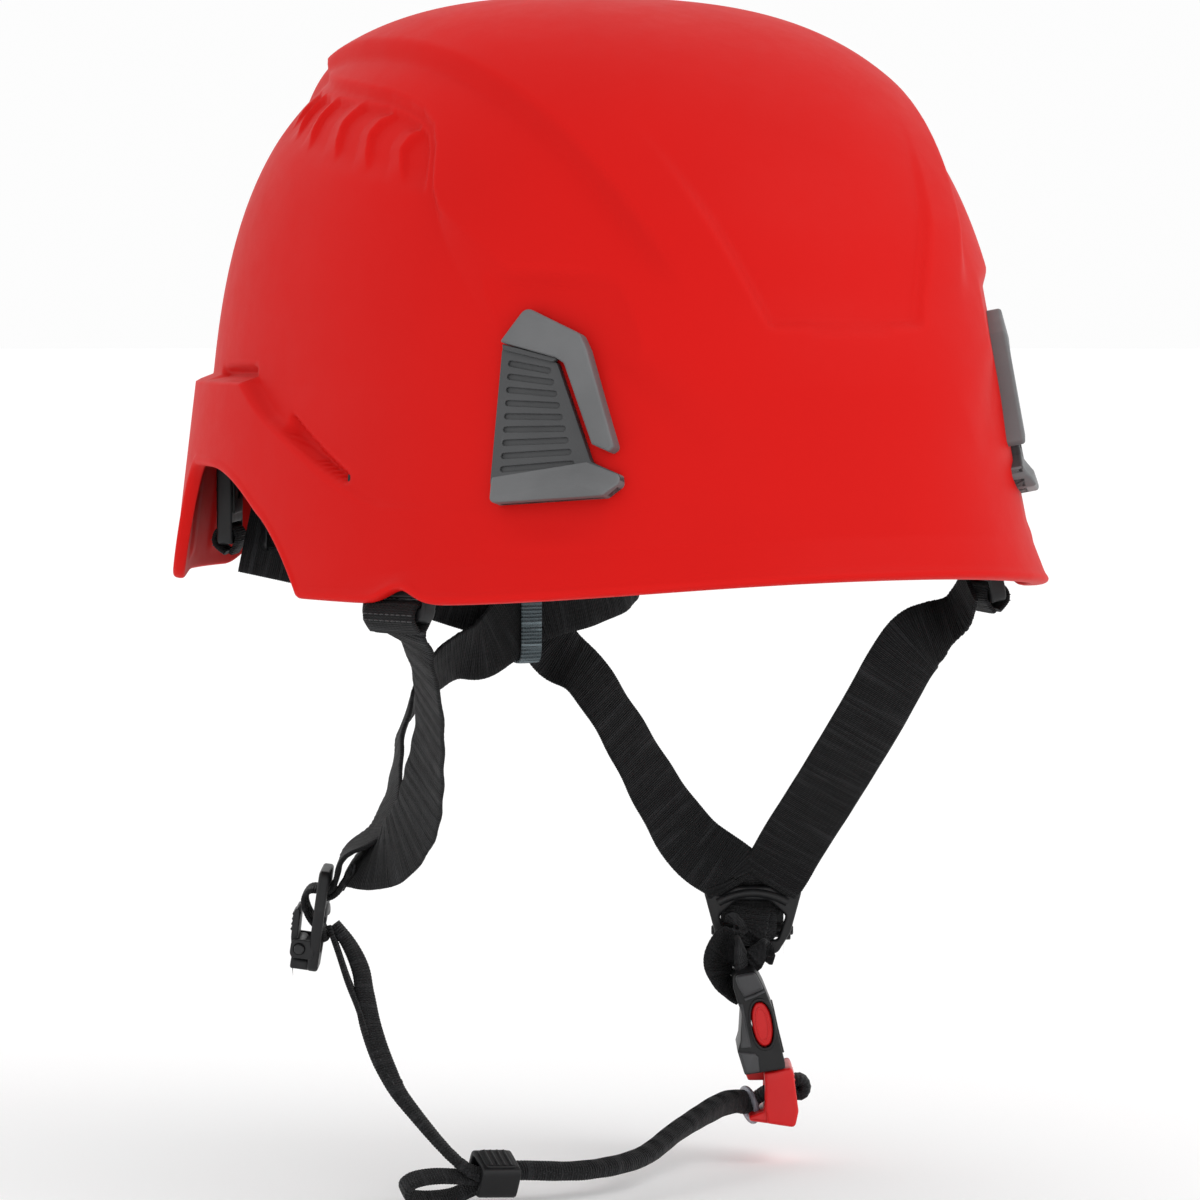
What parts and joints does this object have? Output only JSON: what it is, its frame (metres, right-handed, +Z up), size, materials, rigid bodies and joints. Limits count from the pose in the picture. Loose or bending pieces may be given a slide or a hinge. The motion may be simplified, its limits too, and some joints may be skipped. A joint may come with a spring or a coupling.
{
  "type": "climbing safety helmet",
  "caption": "Brimmed climbing-style safety helmet with a moulded shell, lamp clips, foam liner, ratchet headband, webbing chin harness, side dividers and a side-release buckle.",
  "frame": {"origin": "middle of the head opening, level with the lowest point of the side brim", "axes": "+Z up to the crown, -Y the wearer's front, +X the wearer's left"},
  "size_m": [0.2232, 0.2939, 0.3477],
  "materials": {
    "shell_plastic": "smooth satin moulded shell",
    "liner_foam": "expanded foam",
    "clip_plastic": "fine moulded texture",
    "black_plastic": "satin moulded",
    "pad_fabric": "brushed mesh over foam",
    "webbing": "ribbed woven webbing",
    "chin_webbing": "fine heathered weave",
    "steel": "plain",
    "pinion_plastic": "natural acetal",
    "red_plastic": "moulded",
    "ring_plastic": "translucent grey",
    "band_elastic": "soft grey elastic"
  },
  "bodies": {
    "helmet": {"shell": "shell_plastic", "impact_liner": "liner_foam", "clip_right": "clip_plastic", "clip_left": "clip_plastic", "headband": "black_plastic", "brow_pad": "pad_fabric", "cradle_webbing": "webbing", "crown_pad": "pad_fabric", "cradle_hangers": "black_plastic", "pivot_right": "black_plastic", "pivot_left": "black_plastic", "front_anchor_right": "black_plastic", "front_anchor_left": "black_plastic", "rear_anchor_right": "black_plastic", "rear_anchor_left": "black_plastic", "front_strap_right": "webbing", "front_strap_left": "webbing", "rear_strap_right": "webbing", "rear_strap_left": "webbing", "crossing_band": "band_elastic", "divider_right": "black_plastic", "divider_left": "black_plastic", "divider_pin_right": "steel", "divider_pin_left": "steel", "buckle_webbing": "webbing", "buckle_socket": "black_plastic", "chin_strap": "chin_webbing"},
    "nape_support": {"nape_cradle": "black_plastic", "nape_pad": "pad_fabric", "band_arm_right": "black_plastic", "band_arm_left": "black_plastic", "ratchet_housing": "black_plastic", "ratchet_cover": "black_plastic"},
    "knob": {"ratchet_knob": "black_plastic", "pinion": "pinion_plastic", "ratchet_spring": "steel"},
    "rack_r": {"rack_right": "black_plastic"},
    "rack_l": {"rack_left": "black_plastic"},
    "lever_r": {"divider_lever_right": "black_plastic"},
    "lever_l": {"divider_lever_left": "black_plastic"},
    "tongue": {"buckle_tongue": "red_plastic", "keeper_ring": "ring_plastic"},
    "prong_f": {"prong_front": "red_plastic"},
    "prong_b": {"prong_rear": "red_plastic"},
    "slider": {"strap_slider": "black_plastic", "chin_tail": "chin_webbing"}
  },
  "joints": [
    {"name": "nape_tilt", "type": "hinge", "parent": "helmet", "child": "nape_support", "pos_m": [0, 0.012, 0.026], "axis": [1, 0, 0], "range_deg": [-14, 5]},
    {"name": "knob_turn", "type": "hinge", "parent": "nape_support", "child": "knob", "pos_m": [0, 0.122, 0.012], "axis": [0, 1, 0], "range_deg": [0, 136]},
    {"name": "rack_right_slide", "type": "slide", "parent": "nape_support", "child": "rack_r", "axis": [1, 0, 0], "range_m": [0, 0.012], "deforming": ["band_arm_right"]},
    {"name": "rack_left_slide", "type": "slide", "parent": "nape_support", "child": "rack_l", "axis": [-1, 0, 0], "range_m": [0, 0.012], "deforming": ["band_arm_left"]},
    {"name": "lever_right_open", "type": "hinge", "parent": "helmet", "child": "lever_r", "pos_m": [-0.08074, 0.02985, -0.10221], "axis": [0.515, 0.8572, 0], "range_deg": [-40, 0]},
    {"name": "lever_left_open", "type": "hinge", "parent": "helmet", "child": "lever_l", "pos_m": [0.07627, 0.03077, -0.1079], "axis": [0.8572, -0.515, 0], "range_deg": [-40, 0]},
    {"name": "tongue_slide", "type": "slide", "parent": "helmet", "child": "tongue", "axis": [0.1341, -0.0806, -0.9877], "range_m": [0, 0.024], "deforming": ["chin_strap"]},
    {"name": "prong_front_squeeze", "type": "hinge", "parent": "tongue", "child": "prong_f", "pos_m": [0.06753, 0.0083, -0.14588], "axis": [-0.8466, 0.5087, -0.1564], "range_deg": [0, 7], "stiffness_Nm_per_rad": 0.05},
    {"name": "prong_rear_squeeze", "type": "hinge", "parent": "tongue", "child": "prong_b", "pos_m": [0.07423, 0.01944, -0.14588], "axis": [0.8466, -0.5087, 0.1564], "range_deg": [0, 7], "stiffness_Nm_per_rad": 0.05},
    {"name": "slider_slide", "type": "slide", "parent": "helmet", "child": "slider", "axis": [0.9861, -0.1541, -0.0616], "range_m": [0, 0.014]}
  ],
  "couplings": [
    {"joint": "rack_right_slide", "follows": "knob_turn", "m_per_rad": 0.005},
    {"joint": "rack_left_slide", "follows": "knob_turn", "m_per_rad": 0.005}
  ]
}
